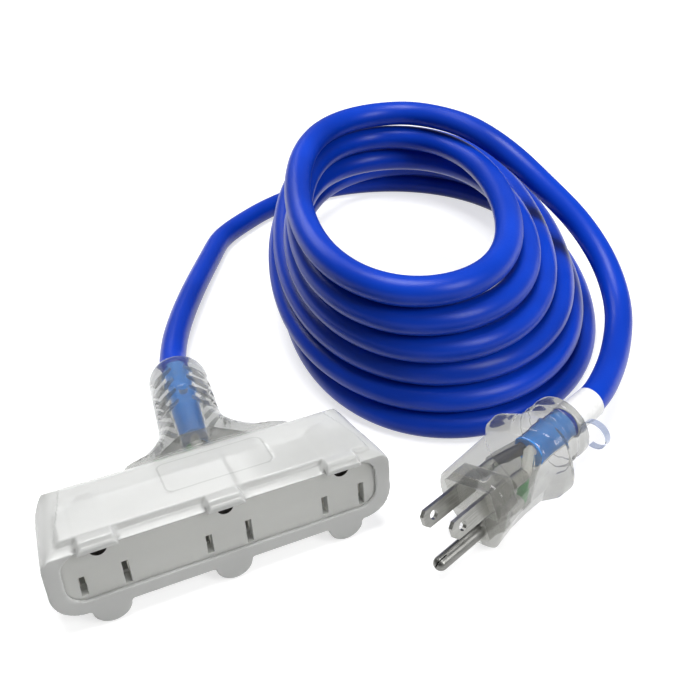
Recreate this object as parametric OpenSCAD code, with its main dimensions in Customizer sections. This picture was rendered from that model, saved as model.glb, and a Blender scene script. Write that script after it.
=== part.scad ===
// Outdoor extension cord: a clear tap with a row of outlets, one round cord in
// a stacked coil, and a clear plug with two blades and a ground pin.
// Millimetres, Z up. The tap stands on its feet and its neck, outlets towards
// -Y, and the origin is on the floor under the middle of the tap.

/* [Outlet and plug pattern] */
// Distance between the centres of the two blades
blade_spacing = 12.7; // [12.5:0.1:13]
// Distance from the line of the blades to the centre of the ground pin
ground_offset = 11.9; // [11.7:0.1:12.1]
// Width of a plug blade
blade_w = 6.35; // [6.2:0.05:6.5]
// Width of the widest blade that a neutral slot takes
wide_blade_w = 7.95; // [7.8:0.05:8.1]
// Thickness of a blade
blade_t = 1.5; // [1.4:0.05:1.6]
// Length of a blade in front of the plug's face
blade_len = 15.6; // [15.5:0.1:17]
// Diameter of the ground pin
pin_d = 4.8; // [4.7:0.05:4.9]
// Length of the ground pin in front of the plug's face
pin_len = 20.6; // [19.5:0.1:21.5]
// Diameter of the ground pin's shank inside the plug
shank_d = 4; // [3.4:0.1:4.4]

/* [Tap bar] */
// Number of outlets in the row
outlet_count = 3; // [2:1:4]
// Distance between the centres of two outlets
outlet_pitch = 38.1; // [36:0.1:42]
// Distance from the centre of an outer outlet to the end of the bar
bar_end = 16.4; // [15.5:0.1:20]
// Height of the bar's top above the line of the blade slots
bar_top = 14.4; // [14:0.1:16]
// Depth of the bar's bottom below the line of the blade slots
bar_bottom = 9.7; // [9.4:0.1:12]
// Depth of the bar behind the faceplate
bar_depth = 36; // [34:0.5:40]
// How much narrower the bar is at the back, at each end
bar_draft = 1.2; // [0.5:0.1:2.8]
// Radius of the bar's lower corners, seen from the front
low_corner_r = 9.5; // [7:0.5:9.5]
// Radius of the bar's upper corners, seen from the front
high_corner_r = 5; // [3:0.5:5.5]
// Radius of the bar's rear corners, seen from above
rear_corner_r = 8; // [5:0.5:8.5]
// Radius of the bar's long rear edges
rear_edge_r = 9; // [5:0.5:9.5]
// How far the rim stands in front of the faceplate
rim_proud = 1.2; // [0.8:0.1:2]
// Depth of the bevel along the top front edge
bevel_depth = 2.8; // [2:0.1:4]
// Height of the bevel along the top front edge
bevel_rise = 0.9; // [0.5:0.1:1.1]

/* [Tap hoods and feet] */
// Width of a hood over a ground hole
hood_w = 9.7; // [9.2:0.1:11]
// Height of a hood above the bar's top
hood_rise = 2.4; // [2.2:0.1:3]
// How far a hood reaches in front of the faceplate
hood_proud = 3.2; // [2.5:0.1:4]
// Length of a hood on the bar's top, behind the faceplate
hood_len = 22; // [21.6:0.2:26]
// Width of the notch in the rim under a hood
notch_w = 6.4; // [5.4:0.1:7]
// Radius of a foot
foot_r = 6; // [5:0.1:7]
// Height of a foot's centre below the line of the blade slots
foot_drop = 9.6; // [9:0.1:11]
// Length of a foot behind the faceplate
foot_len = 8; // [5:0.5:12]

/* [Tap faceplate and carrier] */
// Thickness of the faceplate
face_t = 3; // [2:0.1:4]
// Distance from the end of the bar to the end of the faceplate
face_margin = 5; // [4.6:0.1:6]
// Height of the faceplate above the line of the blade slots
face_top = 13; // [12.8:0.1:13.2]
// Depth of the faceplate below the line of the blade slots
face_bottom = 5; // [4.8:0.1:6]
// Radius of the faceplate's corners
face_r = 6; // [3:0.5:8]
// Radius of the boss round a ground hole
boss_r = 3.9; // [3.8:0.05:4]
// How much further the end of the carrier is from the end of the bar
carrier_inset = 0.5; // [0.3:0.1:2]
// Height of the carrier above the line of the blade slots
carrier_top = 12.4; // [12.2:0.1:12.6]
// Depth of the carrier below the line of the blade slots
carrier_bottom = 7.3; // [7:0.1:7.6]
// Radius of the carrier's corners
carrier_r = 4; // [2:0.5:5]

/* [Contacts] */
// Thickness of the brass strip
strip_t = 0.8; // [0.6:0.1:0.9]
// Thickness of a contact leaf
leaf_t = 0.6; // [0.4:0.1:0.7]
// Height of a contact leaf on each side of the line of the slots
leaf_half = 3; // [2.4:0.1:3]
// Height of the line and neutral strips
strip_h = 2.4; // [1.8:0.1:2.4]
// Height of the ground strip
ground_strip_h = 2.7; // [2:0.1:2.8]
// Wall of a ground socket
socket_t = 0.7; // [0.5:0.1:0.8]
// Length of a ground socket in front of its strip
socket_len = 12; // [9:0.5:12.5]
// Width of a wire terminal's tab
tab_w = 3; // [2:0.1:3.2]
// Length of a wire terminal's tab behind the carrier
tab_len = 5; // [4:0.5:6]
// Place of the line terminal along the bar
line_tab_x = 17; // [14:0.5:17]
// Place of the neutral terminal along the bar
neutral_tab_x = 3; // [1:0.5:5]
// Place of the ground terminal along the bar
ground_tab_x = -12; // [-12:0.5:-9]

/* [Tap neck] */
// Diameter of the neck
neck_d = 23; // [22:0.5:25]
// Height of the neck's centre above the line of the blade slots
neck_z = 2.4; // [2:0.1:3]
// Sideways angle of the neck
neck_yaw = 7; // [0:0.5:9]
// Distance from the faceplate to the point that the neck turns about
neck_pivot = 20; // [16:1:24]
// Length of the neck from that point to its end
neck_reach = 81.8; // [80:0.1:90]
// Radius of the neck's shoulder
shoulder_r = 8.5; // [7:0.5:9]
// Width of the flare on the right of the neck
flare_right = 23; // [16:0.5:26]
// Width of the flare on the left of the neck
flare_left = 16; // [14:0.5:20]
// Length of the flare behind the bar
flare_len = 25.5; // [22:0.5:28]
// Width of a slot along the neck
slot_w = 3.2; // [2:0.1:4]
// Distance between two rows of slots
slot_pitch = 7.9; // [7:0.1:8.5]
// Distance from the turning point to the first row of slots
slot_start = 45.6; // [45:0.1:47]
// Number of slots on each side
slot_rows = 4; // [3:1:5]
// Depth of a slot
slot_depth = 3; // [1:0.1:3.5]
// Length of a slot round the neck
slot_len = 10.5; // [7:0.5:11]

/* [Cord and conductors] */
// Diameter of the cord
cord_d = 10.8; // [9.5:0.1:11]
// Diameter of an insulated conductor
wire_d = 3.8; // [3.2:0.1:3.8]
// Diameter of a bare conductor
core_d = 2.2; // [1.8:0.1:2.4]
// Distance from the neck's turning point to the end of the jacket in the tap
jacket_start = 31; // [30:0.5:34]
// Diameter of a crimp barrel
crimp_d = 4.2; // [4:0.1:4.3]
// Length of a crimp barrel
crimp_len = 6; // [5.5:0.5:7]

/* [Plug] */
// Distance from the plug's face to the back of its collar
plug_len = 47.4; // [46:0.2:52]
// Height of the plug's cord above the line of the blades
plug_rise = 0.2; // [-1:0.1:1]
// Width of the plug's face
plug_w = 28.6; // [27:0.2:30]
// Height of the plug's face above the line of the blades
plug_top = 8.3; // [7.6:0.1:9]
// Depth of the plug's face below the line of the blades
plug_bottom = 18.8; // [18.4:0.1:20]
// Width of the plug's grip
grip_w = 33; // [31:0.5:35]
// Diameter of the collar
collar_d = 23; // [22:0.5:24]
// Length of the collar
collar_len = 13.4; // [12:0.2:15]
// Number of rings on the collar
collar_rings = 3; // [2:1:4]
// Depth of the groove between two rings
ring_groove = 1.4; // [0.5:0.1:2]
// Diameter of the hole in a blade
blade_hole_d = 3.2; // [3:0.1:3.5]
// Distance from the blade's tip to its hole
blade_hole_in = 4.4; // [4:0.1:5]
// Length of the inner bridge behind the plug's face
core_len = 10; // [9:0.5:11]
// Distance from the plug's face to the end of the jacket in the plug
plug_jacket_start = 29; // [28:0.5:31]

/* [Coil] */
// Height between two turns of the coil
turn_rise = 11.6; // [11.6:0.1:12]
// Length of the label on the cord
label_len = 15; // [12:0.5:20]
// Thickness of the label
label_t = 0.3; // [0.2:0.1:0.5]
// Distance from the plug's collar to the label
label_gap = 1.5; // [1:0.5:4]

/* [Fits] */
// Gap between a moulding and the metal or insert that it is moulded round
mould_gap = 0.1; // [0.05:0.01:0.12]
// Clearance round the pin in a ground hole
pin_clearance = 0.1; // [0.05:0.01:0.12]
// Play of a blade across its slot's width
slot_play = 0.5; // [0.3:0.1:0.6]
// Play of a blade along its slot's height
slot_end_play = 0.65; // [0.4:0.05:0.7]

/* [Hidden] */
$fn = 48;

clear_colour = [0.84, 0.86, 0.85, 0.75];
brass_colour = "goldenrod";
steel_colour = "silver";
jacket_colour = [0.05, 0.2, 0.7];
cut = 1; // how far a cutter runs past the face that it cuts
groove_depth = 0.4; // depth of the line on the bar's top

// Shared radii
cord_r = cord_d / 2;
wire_r = wire_d / 2;
core_r = core_d / 2;
crimp_r = crimp_d / 2;
shank_r = shank_d / 2;
neck_r = neck_d / 2;
pin_hole_r = pin_d / 2 + pin_clearance;

// Places along the row
tap_half = bar_end + (outlet_count - 1) * outlet_pitch / 2;
face_half = tap_half - face_margin;
carrier_half = face_half - carrier_inset;
outlets = [for (i = [0 : outlet_count - 1]) (i - (outlet_count - 1) / 2) * outlet_pitch];
line_slots = [for (x = outlets) x - blade_spacing / 2];
neutral_slots = [for (x = outlets) x + blade_spacing / 2];

// Depths behind the faceplate's front, which lies at y = 0
socket_y = face_t + 2;
ground_strip_y = socket_y + socket_len;
neutral_strip_y = blade_len + 0.5;
line_strip_y = neutral_strip_y + strip_t + 1.7;
carrier_back = max(pin_len, line_strip_y + strip_t) + 0.8;
terminal_y = carrier_back + tab_len;
crimp_overlap = 2.5; // how far a tab and a bare conductor enter a crimp
crimp_y = terminal_y - crimp_overlap;

// Heights of the three strips above the line of the slots
line_strip_z = -leaf_half - 0.6 - strip_h;
neutral_strip_z = leaf_half + 0.6;
ground_strip_z = ground_offset - pin_hole_r - socket_t + 0.1;
line_tab_z = line_strip_z + strip_h / 2;
neutral_tab_z = neutral_strip_z + strip_h / 2;
ground_tab_z = ground_strip_z + strip_t / 2 + 0.6;
leaf_in = blade_t / 2 + 0.05; // half of the gap between two leaves
leaf_out = leaf_in + leaf_t;
socket_r = pin_hole_r + socket_t;

// The neck, its shoulder and the flare
neck_end_r = cord_r + 0.6;
shoulder_s = neck_reach - sqrt(pow(shoulder_r, 2) - pow(neck_end_r - neck_r + shoulder_r, 2));
flare_front = bar_depth - rear_edge_r - 1;
flare_end = bar_depth + flare_len;
flare_proud = 0.3; // how far the flare's end stands round the neck

// The tap leans back until its feet and its shoulder both touch the floor
foot_depth = foot_drop + foot_r;
lean_run = neck_pivot + shoulder_s * cos(neck_yaw) - foot_len;
lean_rise = foot_depth - (neck_r - neck_z) + shoulder_r;
tap_lean = atan2(lean_rise, lean_run) - asin(shoulder_r / norm([lean_run, lean_rise]));
slot_line_z = foot_len * sin(tap_lean) + foot_depth * cos(tap_lean);

// The tap's own box decides where the origin lies along Y
tap_front = min(-rim_proud * cos(tap_lean) - foot_depth * sin(tap_lean),
    -hood_proud * cos(tap_lean) + bar_top * sin(tap_lean));
neck_end_y = neck_pivot + neck_reach * cos(neck_yaw);
tap_rear = neck_end_y * cos(tap_lean) + neck_z * sin(tap_lean)
    + neck_end_r * sqrt(1 - pow(cos(neck_yaw) * cos(tap_lean), 2));
tap_mid = (tap_front + tap_rear) / 2;

// A point and a direction of the tap, in the part's own frame
function tap_turn(v) = [v.x, v.y * cos(tap_lean) + v.z * sin(tap_lean),
    v.z * cos(tap_lean) - v.y * sin(tap_lean)];
function tap_point(p) = tap_turn(p) + [0, -tap_mid, slot_line_z];
// A point of the neck in the tap's frame: s along it, x across and z up
function neck_point(s, x = 0, z = 0) = [sin(neck_yaw) * s + cos(neck_yaw) * x,
    neck_pivot + cos(neck_yaw) * s - sin(neck_yaw) * x, neck_z + z];

// Where the plug lies: the middle of the blades' line on its face
plug_face_pos = [73.2, -69.9, 18.2];
plug_yaw = 198; // the way that the blades point, seen from above
plug_nose_down = 4.4;
plug_roll = 18;
function turn_x(v, a) = [v.x, v.y * cos(a) - v.z * sin(a), v.y * sin(a) + v.z * cos(a)];
function turn_z(v, a) = [v.x * cos(a) - v.y * sin(a), v.x * sin(a) + v.y * cos(a), v.z];
function plug_turn(v) = turn_z(turn_x(turn_z(v, plug_roll), 90 + plug_nose_down), 90 + plug_yaw);
function plug_point(p) = plug_face_pos + plug_turn(p);

// The coil, seen from above: each turn is an oval whose four ends are set here,
// in a frame turned by coil_turn about coil_centre. Entry n of each list
// belongs to turn n, from the floor up; the turns run clockwise from the back.
coil_centre = [115, 55];
coil_turn = 68;
coil_back = [158, 154, 149, 142, 77, 75, 75];
coil_right = [84, 76, 70.5, 59.5, 48, 39.5, 50];
coil_front = [-77, -76, -75, -77.5, -77.5, -77.5];
coil_left = [-92, -51, -55, -52, -46, -44, -44];
coil_square = 0.03; // how much fuller than an ellipse a turn is at its corners
coil_first_ring = -3; // in rings from the back of the first turn
coil_last_ring = 144;
rings_per_turn = 24;
coil_sides = 6;
coil_join = 3; // straight length where the coil meets a free stretch
climb_from = 0.5; // share of a turn where it starts to climb, and the climb's length
climb_over = 0.4;

function ease(x) = let (c = min(max(x, 0), 1)) c * c * (3 - 2 * c);
function between(list, s) = let (i = min(max(floor(s), 0), len(list) - 2))
    list[i] + (list[i + 1] - list[i]) * ease(s - i);
function coil_z(t) = cord_r + turn_rise * (floor(t) + ease((t - floor(t) - climb_from) / climb_over));
function coil_point(t) = let (
        front = between(coil_front, t - 0.5),
        back = between(coil_back, t),
        left = between(coil_left, t + 0.25),
        right = between(coil_right, t - 0.25),
        u = (front + back + (back - front) * cos(360 * t)) / 2,
        full = (sin(360 * t) + coil_square * sin(1080 * t)) / (1 - coil_square),
        v = (left + right - (left - right) * full) / 2
    ) [coil_centre.x + u * cos(coil_turn) + v * sin(coil_turn),
        coil_centre.y + u * sin(coil_turn) - v * cos(coil_turn),
        max(cord_r, coil_z(t))];
function unit(v) = v / norm(v);
function coil_way(t) = unit(coil_point(t + 0.002) - coil_point(t - 0.002));

coil_first = coil_first_ring / rings_per_turn;
coil_last = coil_last_ring / rings_per_turn;
coil_in = coil_point(coil_first) - coil_join * coil_way(coil_first);
coil_out = coil_point(coil_last) + coil_join * coil_way(coil_last);
coil_path = concat([coil_in],
    [for (i = [coil_first_ring : coil_last_ring]) coil_point(i / rings_per_turn)], [coil_out]);

// The free stretches
tap_exit = tap_point(neck_point(neck_reach));
tap_way = tap_turn([sin(neck_yaw), cos(neck_yaw), 0]);
plug_entry = plug_point([0, plug_rise, -plug_len]);
plug_way = plug_turn([0, 0, 1]);
tap_route = [[16, 77, 9.7], [24, 96, 8.6], [35, 118, 7.5], [46, 138, 6.5], [57, 157, 5.6],
    [67, 173, 5.4]];
plug_route = [[158, 112, 75], [163, 101, 75], [166, 89, 74.8], [168.5, 76, 73], [172.5, 62, 68.5],
    [178.5, 47, 59.5], [186, 32, 48.5], [188, 14, 36.5], [181, -6, 27], [166, -24.5, 22.7],
    [149.5, -39.5, 22.6]];
tap_lead_points = concat([tap_exit, tap_exit + cord_d * tap_way], tap_route,
    [coil_in - coil_join * coil_way(coil_first), coil_in]);
plug_straight = label_len + 2 * label_gap;
plug_lead_points = concat([coil_out, coil_out + coil_join * coil_way(coil_last)], plug_route,
    [plug_entry - plug_straight * plug_way, plug_entry]);
lead_sides = 12;

// Least distance from a point to a stretch of cord
function to_stretch(p, a, b) = let (d = b - a, k = min(max(((p - a) * d) / (d * d), 0), 1))
    norm(p - a - k * d);
coil_gap = min([for (i = [0 : len(coil_path) - 1], j = [i + 6 : 1 : len(coil_path) - 2])
    to_stretch(coil_path[i], coil_path[j], coil_path[j + 1])]) - cord_d;
function run_length(p) = len(p) < 2 ? 0 : [for (i = [1 : len(p) - 1]) norm(p[i] - p[i - 1])]
    * [for (i = [1 : len(p) - 1]) 1];

// ---------- shapes shared by several pieces ----------

// A flat outline in X and Z, run along Y
module along_y(y0, y1) {
    translate([0, y1, 0]) rotate([90, 0, 0]) linear_extrude(y1 - y0) children();
}

// A flat outline in Y and Z, run along X to both sides
module along_x(half) {
    rotate([90, 0, 90]) translate([0, 0, -half]) linear_extrude(2 * half) children();
}

module bar_y(r, y0, y1) {
    translate([0, y0, 0]) rotate([-90, 0, 0]) cylinder(h = y1 - y0, r = r);
}

module block(low, high) {
    translate(low) cube(high - low);
}

// A rectangle with one radius for its lower and one for its upper corners
module plate(half, low, high, r_low, r_high) {
    translate([-half, low + r_low]) square([2 * half, high - low - r_low - r_high]);
    translate([-half + r_low, low]) square([2 * (half - r_low), r_low]);
    translate([-half + r_high, high - r_high]) square([2 * (half - r_high), r_high]);
    for (side = [-1, 1]) {
        translate([side * (half - r_low), low + r_low]) circle(r_low);
        translate([side * (half - r_high), high - r_high]) circle(r_high);
    }
}

// A conductor in its insulation, then its bare end
module conductor(points, across) {
    last = len(points) - 1;
    tube(points, wire_r, lead_sides, across);
    rod(points[last], points[last] + crimp_overlap * unit(points[last] - points[last - 1]), core_r);
}

module rod(a, b, r) {
    d = b - a;
    translate(a) rotate([0, acos(d.z / norm(d)), atan2(d.y, d.x)]) cylinder(h = norm(d), r = r);
}

// A round tube swept along points, each end square to its last stretch. No
// stretch runs along the direction across.
function way_at(p, i) = unit(p[min(i + 1, len(p) - 1)] - p[max(i - 1, 0)]);
function ring_at(p, i, r, sides, across) = let (
        t = way_at(p, i),
        side = unit(cross(t, across)),
        up = cross(side, t)
    ) [for (k = [0 : sides - 1]) p[i] + r * (cos(360 * (k + 0.5) / sides) * side
        + sin(360 * (k + 0.5) / sides) * up)];
module tube(p, r, sides, across = [0, 0, 1]) {
    n = len(p);
    points = [for (i = [0 : n - 1]) each ring_at(p, i, r, sides, across)];
    walls = [for (i = [0 : n - 2], k = [0 : sides - 1], half = [0, 1]) let (
            a = i * sides + k,
            b = i * sides + (k + 1) % sides
        ) half == 0 ? [a, b, b + sides] : [a, b + sides, a + sides]];
    caps = [for (k = [1 : sides - 2]) each [[0, k + 1, k],
        [(n - 1) * sides, (n - 1) * sides + k, (n - 1) * sides + k + 1]]];
    polyhedron(points, concat(walls, caps));
}

// A skin through rings that all have the same number of points
module loft(rings) {
    n = len(rings);
    m = len(rings[0]);
    walls = [for (i = [0 : n - 2], k = [0 : m - 1], half = [0, 1]) let (
            a = i * m + k,
            b = i * m + (k + 1) % m
        ) half == 0 ? [a, b, b + m] : [a, b + m, a + m]];
    caps = [for (k = [1 : m - 2]) each [[0, k + 1, k], [(n - 1) * m, (n - 1) * m + k, (n - 1) * m + k + 1]]];
    polyhedron([for (r = rings) each r], concat(walls, caps));
}

// Cosine or sine bent towards a box: power 1 is round, 0.5 is nearly square
function boxed(c, power) = sign(c) * pow(abs(c), power);

// ---------- the tap ----------

module tap_place() {
    translate([0, -tap_mid, slot_line_z]) rotate([-tap_lean, 0, 0]) children();
}

module neck_place() {
    translate([0, neck_pivot, neck_z]) rotate([0, 0, -neck_yaw]) children();
}

module bar_front() {
    plate(tap_half, -bar_bottom, bar_top, low_corner_r, high_corner_r);
}

// The bar seen from above: its ends draw in towards the back
module bar_plan() {
    back = bar_depth - rear_corner_r;
    half = tap_half - bar_draft;
    polygon([[-tap_half, -rim_proud], [tap_half, -rim_proud], [half, back], [-half, back]]);
    translate([-half + rear_corner_r, back]) square([2 * (half - rear_corner_r), rear_corner_r]);
    for (side = [-1, 1]) translate([side * (half - rear_corner_r), back]) circle(rear_corner_r);
}

// The bar seen from its end: a bevel on the top front edge, round rear edges
module bar_side() {
    back = bar_depth - rear_edge_r;
    polygon([[-rim_proud, -bar_bottom], [back, -bar_bottom], [back, bar_top],
        [-rim_proud + bevel_depth, bar_top], [-rim_proud, bar_top - bevel_rise]]);
    translate([back, -bar_bottom + rear_edge_r])
        square([rear_edge_r, bar_top + bar_bottom - 2 * rear_edge_r]);
    for (z = [-bar_bottom + rear_edge_r, bar_top - rear_edge_r]) translate([back, z]) circle(rear_edge_r);
}

module bar() {
    intersection() {
        along_y(-rim_proud, bar_depth) bar_front();
        translate([0, 0, -bar_bottom - cut]) linear_extrude(bar_top + bar_bottom + 2 * cut) bar_plan();
        along_x(tap_half + cut) bar_side();
    }
}

// A hood: flat on top, sloping off at its back and its two sides
module hood() {
    top = bar_top + hood_rise;
    low = bar_top - 2;
    spread = 1.4;
    intersection() {
        along_x(hood_w) polygon([[-hood_proud, bar_top], [-hood_proud, top - 0.7],
            [-hood_proud + 0.7, top], [hood_len, top], [hood_len + 4, low], [0, low], [0, bar_top]]);
        along_y(-hood_proud - cut, hood_len + 6) polygon([[-hood_w / 2 - spread, low],
            [hood_w / 2 + spread, low], [hood_w / 2 + spread, bar_top], [hood_w / 2, top],
            [-hood_w / 2, top], [-hood_w / 2 - spread, bar_top]]);
    }
}

// One ring of the flare at depth y: narrow and round at the neck, wide at the bar
flare_rings = 9;
flare_points = 32;
function flare_ring(y) = let (
        q = min((flare_end - y) / flare_len, 1),
        swell = 1 - sqrt(1 - q * q),
        power = 1 - 0.45 * ease(q),
        height = neck_r + flare_proud * (1 - q)
    ) [for (k = [0 : flare_points - 1]) let (
            a = -360 * (k + 0.5) / flare_points,
            wide = cos(a) > 0 ? flare_right : flare_left,
            half = (neck_r + flare_proud) / cos(neck_yaw) + wide * swell
        ) [(y - neck_pivot) * tan(neck_yaw) + half * boxed(cos(a), power), y,
            neck_z + height * boxed(sin(a), power)]];
module flare() {
    steps = [for (i = [0 : flare_rings - 1]) flare_end - flare_len * sin(90 * i / (flare_rings - 1))];
    loft([for (y = concat(steps, [flare_front])) flare_ring(y)]);
}

module neck() {
    neck_place() rotate([-90, 0, 0]) rotate_extrude() {
        square([neck_r, shoulder_s]);
        square([neck_r - shoulder_r, neck_reach]);
        intersection() {
            translate([neck_r - shoulder_r, shoulder_s]) circle(shoulder_r);
            translate([0, shoulder_s - cut]) square([neck_r, neck_reach - shoulder_s + cut]);
        }
    }
}

// A slot with round ends, cut square to the neck at an angle round it
module neck_slot(s, angle, long) {
    neck_place() translate([0, s, 0]) rotate([0, angle, 0])
        translate([0, 0, neck_r - slot_depth]) linear_extrude(slot_depth + cut) {
            square([long - slot_w, slot_w], center = true);
            for (end = [-1, 1]) translate([end * (long - slot_w) / 2, 0]) circle(slot_w / 2);
        }
}

module neck_slots() {
    tilt = 43; // from straight up to the middle of a slot
    for (row = [0 : slot_rows - 1], up = [0, 180], side = [-1, 1])
        neck_slot(slot_start + row * slot_pitch, up + side * tilt, slot_len);
    for (up = [0, 180]) neck_slot(slot_start + 0.75 * slot_pitch, up, slot_w + 0.01);
}

module face_outline(gap = 0) {
    plate(face_half + gap, -face_bottom - gap, face_top + gap, face_r, face_r);
    for (x = outlets) translate([x, ground_offset]) circle(boss_r + gap);
}

module carrier_outline(gap = 0) {
    plate(carrier_half + gap, -carrier_bottom - gap, carrier_top + gap, carrier_r, carrier_r);
    for (x = outlets) translate([x, ground_offset]) circle(boss_r + gap);
}

// The space behind the carrier where the conductors spread to their terminals
module wire_space() {
    room = crimp_r + 0.4;
    left = ground_tab_x - room;
    right = line_tab_x + room;
    low = line_tab_z - room;
    high = ground_tab_z + room;
    deep = crimp_y + crimp_len + 4;
    narrow = deep + 10;
    mid = (narrow - neck_pivot) * tan(neck_yaw);
    translate([0, 0, low]) linear_extrude(high - low)
        polygon([[left, carrier_back], [right, carrier_back], [right, deep],
            [mid + cord_r, narrow], [mid - cord_r, narrow], [left, deep]]);
    neck_place() bar_y(cord_r + mould_gap, narrow - neck_pivot - 3, neck_reach + cut);
}

// The shallow line of a rounded rectangle on the bar's top
module top_groove() {
    half = outlet_pitch * 0.46;
    side = bar_depth * 0.236;
    line = 0.6;
    corner = 3;
    translate([outlet_pitch * 0.066, bar_depth * 0.486, bar_top - groove_depth]) linear_extrude(1)
        difference() {
            plate(half, -side, side, corner, corner);
            plate(half - line, -side + line, side - line, corner - line, corner - line);
        }
}

module tap_shell() {
    color(clear_colour) tap_place() difference() {
        union() {
            difference() {
                bar();
                top_groove();
            }
            for (x = outlets) translate([x, 0, 0]) {
                hood();
                translate([0, 0, -foot_drop]) bar_y(foot_r, -rim_proud, foot_len);
            }
            flare();
            neck();
        }
        along_y(-rim_proud - cut, 0) plate(face_half, -face_bottom, face_top, face_r, face_r);
        for (x = outlets) translate([x, 0, 0])
            block([-notch_w / 2, -rim_proud - cut, face_top - cut], [notch_w / 2, 0, bar_top]);
        along_y(0, face_t) face_outline(mould_gap);
        along_y(face_t, carrier_back) carrier_outline(mould_gap);
        wire_space();
        neck_slots();
    }
}

// The parts of an outlet that go through the faceplate
module outlet_holes(depth) {
    slot_half = (blade_t + slot_play) / 2;
    for (x = line_slots) block([x - slot_half, -cut, -(blade_w + slot_end_play) / 2],
        [x + slot_half, depth, (blade_w + slot_end_play) / 2]);
    for (x = neutral_slots) block([x - slot_half, -cut, -(wide_blade_w + slot_end_play) / 2],
        [x + slot_half, depth, (wide_blade_w + slot_end_play) / 2]);
    for (x = outlets) translate([x, 0, ground_offset]) bar_y(pin_hole_r, -cut, depth);
}

module outlet_face() {
    color(clear_colour) tap_place() difference() {
        along_y(0, face_t) face_outline();
        outlet_holes(face_t + cut);
    }
}

// A strip's own space in the carrier, open at the back
module strip_groove(y, low, high, from, to) {
    block([from - mould_gap, y, low - mould_gap], [to + mould_gap, carrier_back + cut, high + mould_gap]);
}

module contact_carrier() {
    leaf_room = leaf_out + mould_gap;
    color([0.75, 0.78, 0.78]) tap_place() difference() {
        along_y(face_t, carrier_back) carrier_outline();
        outlet_holes(socket_y);
        // line contacts and their strip
        for (x = line_slots) {
            block([x - leaf_room, face_t + 0.8, -leaf_half - mould_gap],
                [x + leaf_room, carrier_back + cut, leaf_half + mould_gap]);
            strip_groove(line_strip_y, line_strip_z, leaf_half, x - leaf_out, x + leaf_out);
        }
        strip_groove(line_strip_y, line_strip_z, line_strip_z + strip_h, line_from, line_to);
        // neutral contacts and their strip
        for (x = neutral_slots) {
            block([x - leaf_room, face_t + 0.8, -leaf_half - mould_gap],
                [x + leaf_room, carrier_back + cut, leaf_half + mould_gap]);
            strip_groove(neutral_strip_y, -leaf_half, neutral_strip_z + strip_h, x - leaf_out, x + leaf_out);
        }
        strip_groove(neutral_strip_y, neutral_strip_z, neutral_strip_z + strip_h, neutral_from, neutral_to);
        // ground sockets and their strip
        for (x = outlets) translate([x, 0, ground_offset])
            bar_y(socket_r + mould_gap, socket_y, carrier_back + cut);
        strip_groove(ground_strip_y, ground_strip_z, ground_strip_z + ground_strip_h, ground_from, ground_to);
    }
}

// Each strip runs from its first contact to its last, or to its terminal
line_from = min(line_slots[0] - leaf_out, line_tab_x - tab_w / 2);
line_to = max(line_slots[outlet_count - 1] + leaf_out, line_tab_x + tab_w / 2);
neutral_from = min(neutral_slots[0] - leaf_out, neutral_tab_x - tab_w / 2);
neutral_to = max(neutral_slots[outlet_count - 1] + leaf_out, neutral_tab_x + tab_w / 2);
ground_from = min(outlets[0], ground_tab_x - tab_w / 2);
ground_to = max(outlets[outlet_count - 1], ground_tab_x + tab_w / 2);

// Two leaves that grip a blade
module leaves(back) {
    for (side = [-1, 1]) {
        near = side > 0 ? leaf_in : -leaf_out;
        block([near, face_t + 1, -leaf_half], [near + leaf_t, back, leaf_half]);
    }
}

module terminal_tab(x, z, front) {
    block([x - tab_w / 2, front, z - strip_t / 2], [x + tab_w / 2, terminal_y, z + strip_t / 2]);
}

module line_bus() {
    color(brass_colour) tap_place() {
        block([line_from, line_strip_y, line_strip_z],
            [line_to, line_strip_y + strip_t, line_strip_z + strip_h]);
        for (x = line_slots) {
            translate([x, 0, 0]) leaves(line_strip_y);
            block([x - leaf_out, line_strip_y, line_strip_z], [x + leaf_out, line_strip_y + strip_t, leaf_half]);
        }
        terminal_tab(line_tab_x, line_tab_z, line_strip_y);
    }
}

module neutral_bus() {
    top = neutral_strip_z + strip_h;
    color(brass_colour) tap_place() {
        block([neutral_from, neutral_strip_y, neutral_strip_z], [neutral_to, neutral_strip_y + strip_t, top]);
        for (x = neutral_slots) {
            translate([x, 0, 0]) leaves(neutral_strip_y);
            block([x - leaf_out, neutral_strip_y, -leaf_half], [x + leaf_out, neutral_strip_y + strip_t, top]);
        }
        terminal_tab(neutral_tab_x, neutral_tab_z, neutral_strip_y);
    }
}

module ground_bus() {
    color(brass_colour) tap_place() difference() {
        union() {
            block([ground_from, ground_strip_y, ground_strip_z],
                [ground_to, ground_strip_y + strip_t, ground_strip_z + ground_strip_h]);
            for (x = outlets) translate([x, 0, ground_offset])
                bar_y(socket_r, socket_y, ground_strip_y + strip_t);
            terminal_tab(ground_tab_x, ground_tab_z, ground_strip_y);
        }
        for (x = outlets) translate([x, 0, ground_offset])
            bar_y(pin_hole_r, socket_y - cut, ground_strip_y + strip_t + cut);
    }
}

// A crimp barrel along Y with a slot for the tab and a hole for the conductor
module tap_crimp(x, z) {
    color(steel_colour) tap_place() translate([x, 0, z]) difference() {
        bar_y(crimp_r, crimp_y, crimp_y + crimp_len);
        block([-tab_w / 2 - mould_gap, crimp_y - cut, -strip_t / 2 - mould_gap],
            [tab_w / 2 + mould_gap, terminal_y, strip_t / 2 + mould_gap]);
        bar_y(core_r + mould_gap, crimp_y + crimp_len - crimp_overlap, crimp_y + crimp_len + cut);
    }
}

module tap_line_crimp() {
    tap_crimp(line_tab_x, line_tab_z);
}

module tap_neutral_crimp() {
    tap_crimp(neutral_tab_x, neutral_tab_z);
}

module tap_ground_crimp() {
    tap_crimp(ground_tab_x, ground_tab_z);
}

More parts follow.
